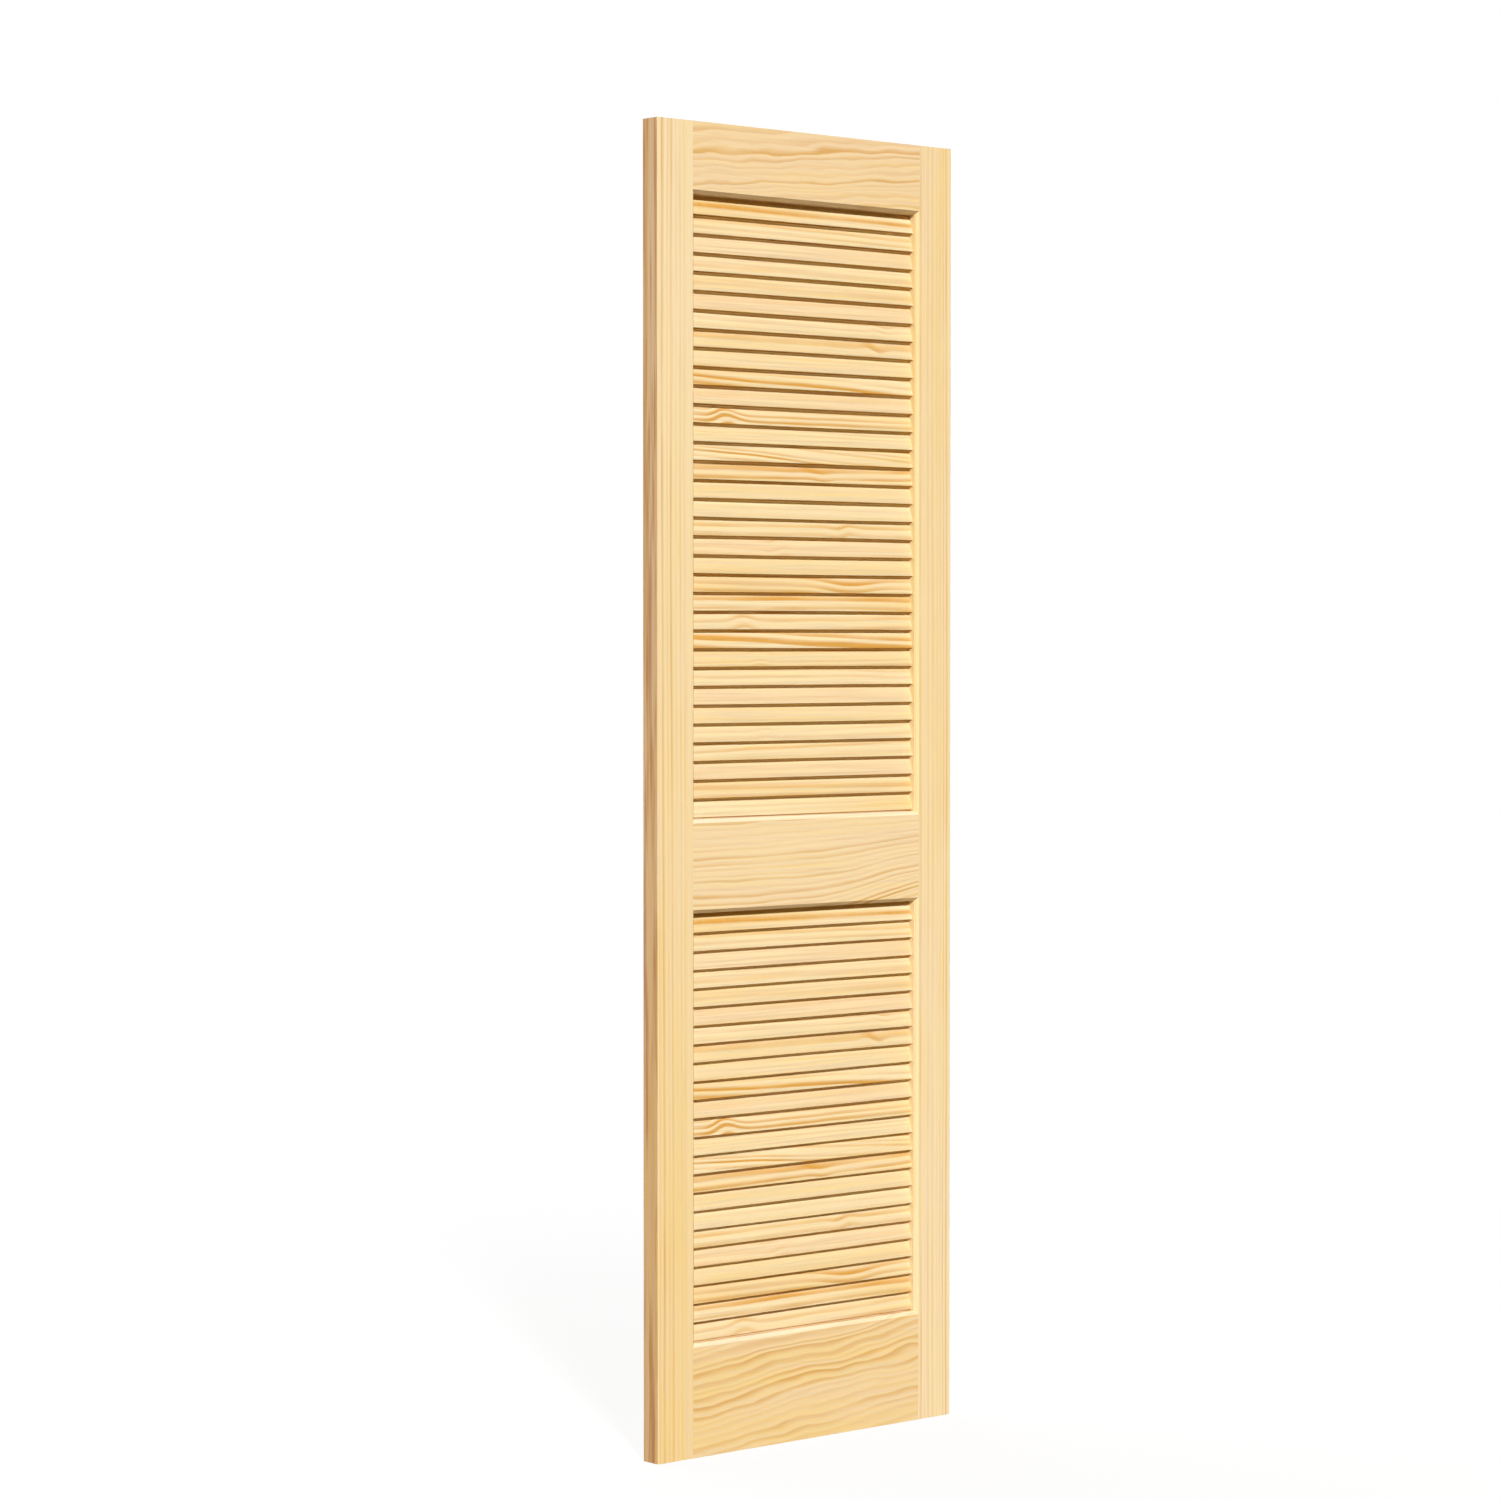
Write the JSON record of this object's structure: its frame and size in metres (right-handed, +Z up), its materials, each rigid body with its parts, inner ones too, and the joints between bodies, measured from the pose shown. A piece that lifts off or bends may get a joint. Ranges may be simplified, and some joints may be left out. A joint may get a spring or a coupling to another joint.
{
  "type": "louvred door",
  "caption": "Tall pine louvred door slab: stiles and rails frame an upper and a lower bank of fixed, tilted slats. Bare sanded wood, hung by either long edge.",
  "frame": {"origin": "middle of the door's bottom edge, half way through its thickness", "axes": "+X across the door to the right seen from the front, +Y from the front face to the back face, +Z up along the stiles"},
  "size_m": [0.6096, 0.035, 2.032],
  "materials": {
    "stile_pine": "bare sanded pine, straight upright grain",
    "rail_pine": "bare sanded pine, wavy flat-sawn grain along the rail",
    "slat_pine": "bare planed pine, grain along the slat",
    "dowel_wood": "plain turned hardwood"
  },
  "bodies": {
    "root": {"left_stile": "stile_pine", "right_stile": "stile_pine", "top_rail": "rail_pine", "mid_rail": "rail_pine", "bottom_rail": "rail_pine", "upper_slat_01": "slat_pine", "upper_slat_02": "slat_pine", "upper_slat_03": "slat_pine", "upper_slat_04": "slat_pine", "upper_slat_05": "slat_pine", "upper_slat_06": "slat_pine", "upper_slat_07": "slat_pine", "upper_slat_08": "slat_pine", "upper_slat_09": "slat_pine", "upper_slat_10": "slat_pine", "upper_slat_11": "slat_pine", "upper_slat_12": "slat_pine", "upper_slat_13": "slat_pine", "upper_slat_14": "slat_pine", "upper_slat_15": "slat_pine", "upper_slat_16": "slat_pine", "upper_slat_17": "slat_pine", "upper_slat_18": "slat_pine", "upper_slat_19": "slat_pine", "upper_slat_20": "slat_pine", "upper_slat_21": "slat_pine", "upper_slat_22": "slat_pine", "upper_slat_23": "slat_pine", "upper_slat_24": "slat_pine", "upper_slat_25": "slat_pine", "upper_slat_26": "slat_pine", "upper_slat_27": "slat_pine", "upper_slat_28": "slat_pine", "upper_slat_29": "slat_pine", "upper_slat_30": "slat_pine", "upper_slat_31": "slat_pine", "upper_lowest_slats": "slat_pine", "lower_slat_01": "slat_pine", "lower_slat_02": "slat_pine", "lower_slat_03": "slat_pine", "lower_slat_04": "slat_pine", "lower_slat_05": "slat_pine", "lower_slat_06": "slat_pine", "lower_slat_07": "slat_pine", "lower_slat_08": "slat_pine", "lower_slat_09": "slat_pine", "lower_slat_10": "slat_pine", "lower_slat_11": "slat_pine", "lower_slat_12": "slat_pine", "lower_slat_13": "slat_pine", "lower_slat_14": "slat_pine", "lower_slat_15": "slat_pine", "lower_slat_16": "slat_pine", "lower_slat_17": "slat_pine", "lower_slat_18": "slat_pine", "lower_slat_19": "slat_pine", "lower_slat_20": "slat_pine", "lower_slat_21": "slat_pine", "lower_lowest_slats": "slat_pine", "dowels": "dowel_wood"}
  },
  "joints": []
}
